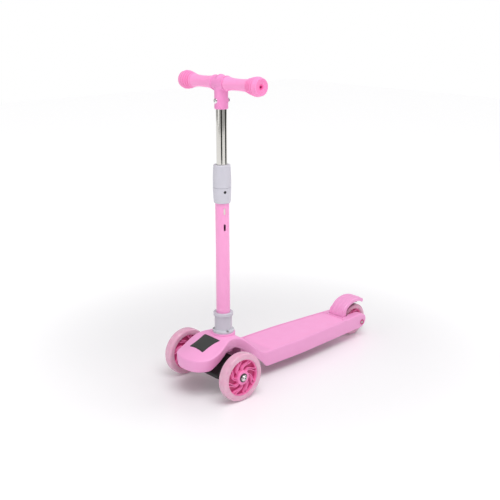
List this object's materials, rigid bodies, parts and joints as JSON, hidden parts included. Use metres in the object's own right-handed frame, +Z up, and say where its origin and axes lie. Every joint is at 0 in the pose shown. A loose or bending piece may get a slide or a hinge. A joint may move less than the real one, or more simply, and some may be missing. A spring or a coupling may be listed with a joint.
{
  "type": "kick scooter",
  "caption": "Child's three-wheeled kick scooter with lean steering, height-adjustable handlebar, moulded deck and rear mudguard brake.",
  "frame": {"origin": "on the ground, in the middle of the scooter's length and width", "axes": "+X forward, +Y to the rider's left, +Z up"},
  "size_m": [0.651, 0.272, 0.76],
  "materials": {
    "body_pink": "satin moulded",
    "pad_pink": "matt moulded",
    "panel_black": "satin moulded",
    "truck_black": "matt moulded",
    "bush_nylon": "matt moulded",
    "zinc_steel": "satin",
    "bright_steel": "polished",
    "bearing_steel": "satin",
    "spring_steel": "satin",
    "buffer_rubber": "matt",
    "rim_pink": "satin moulded",
    "tyre_clear_pink": "glossy translucent urethane",
    "lamp_white": "satin moulded",
    "collar_grey": "satin moulded",
    "tube_pink": "gloss paint",
    "tee_pink": "satin moulded",
    "grip_pink": "matt"
  },
  "bodies": {
    "frame": {"deck_shell": "body_pink", "deck_pad": "pad_pink", "nose_panel": "panel_black", "king_bolt": "zinc_steel", "king_washers": "zinc_steel", "king_nut": "zinc_steel", "steer_buffer_left": "buffer_rubber", "steer_buffer_right": "buffer_rubber", "rear_axle": "zinc_steel", "rear_axle_nut": "zinc_steel", "rear_axle_spacers": "zinc_steel", "rear_hub_spacer": "zinc_steel", "brake_pin": "zinc_steel", "brake_spring": "spring_steel", "column_socket": "collar_grey", "socket_screws": "zinc_steel", "outer_tube": "tube_pink", "column_plug": "bush_nylon", "column_bolt": "zinc_steel", "guide_bush": "bush_nylon", "collar_base": "collar_grey", "collar_cap": "collar_grey"},
    "truck": {"truck_beam": "truck_black", "king_bush": "bush_nylon", "front_axle_left": "bright_steel", "front_axle_right": "bright_steel", "front_axle_nuts": "zinc_steel", "hub_spacer_left": "zinc_steel", "hub_spacer_right": "zinc_steel"},
    "wheel_front_left": {"front_left_rim": "rim_pink", "front_left_lamps": "lamp_white", "front_left_tyre": "tyre_clear_pink", "front_left_bearings": "bearing_steel"},
    "wheel_front_right": {"front_right_rim": "rim_pink", "front_right_lamps": "lamp_white", "front_right_tyre": "tyre_clear_pink", "front_right_bearings": "bearing_steel"},
    "wheel_rear": {"rear_rim": "rim_pink", "rear_lamps": "lamp_white", "rear_tyre": "tyre_clear_pink", "rear_bearings": "bearing_steel"},
    "brake": {"mudguard": "body_pink", "brake_shoe": "truck_black"},
    "mast": {"inner_tube": "bright_steel", "stem_foot_bush": "bush_nylon", "catch_spring": "spring_steel", "tee_head": "tee_pink", "tee_bolt": "bright_steel", "tee_nut": "bright_steel", "handlebar_core": "zinc_steel", "grip_left": "grip_pink", "grip_right": "grip_pink"},
    "catch": {"snap_catch": "spring_steel"},
    "button": {"release_button": "panel_black"}
  },
  "joints": [
    {"name": "steer", "type": "hinge", "parent": "frame", "child": "truck", "pos_m": [0.2355, 0, 0.062], "axis": [0.5736, 0, 0.8192], "range_deg": [-10, 10], "stiffness_Nm_per_rad": 30, "deforming": ["steer_buffer_left", "steer_buffer_right"]},
    {"name": "wheel_front_left_spin", "type": "hinge", "parent": "truck", "child": "wheel_front_left", "pos_m": [0.2355, 0.105, 0.06], "axis": [0, 1, 0], "continuous": true},
    {"name": "wheel_front_right_spin", "type": "hinge", "parent": "truck", "child": "wheel_front_right", "pos_m": [0.2355, -0.105, 0.06], "axis": [0, 1, 0], "continuous": true},
    {"name": "wheel_rear_spin", "type": "hinge", "parent": "frame", "child": "wheel_rear", "pos_m": [-0.2805, 0, 0.045], "axis": [0, 1, 0], "continuous": true},
    {"name": "brake_press", "type": "hinge", "parent": "frame", "child": "brake", "pos_m": [-0.2205, 0, 0.064], "axis": [0, -1, 0], "range_deg": [0, 2.8], "stiffness_Nm_per_rad": 4, "springref_deg": -2.86, "deforming": ["brake_spring"]},
    {"name": "height_slide", "type": "slide", "parent": "frame", "child": "mast", "axis": [0, 0, 1], "range_m": [-0.0862, 0], "deforming": ["snap_catch", "catch_spring"]},
    {"name": "button_press", "type": "slide", "parent": "frame", "child": "button", "axis": [-0.3584, -0.9336, 0], "range_m": [0, 0.004], "stiffness_N_per_m": 500},
    {"name": "catch_press", "type": "slide", "parent": "mast", "child": "catch", "axis": [-0.3584, -0.9336, 0], "range_m": [0, 0.004], "stiffness_N_per_m": 500}
  ],
  "couplings": [
    {"joint": "catch_press", "follows": "button_press", "ratio": 1}
  ]
}
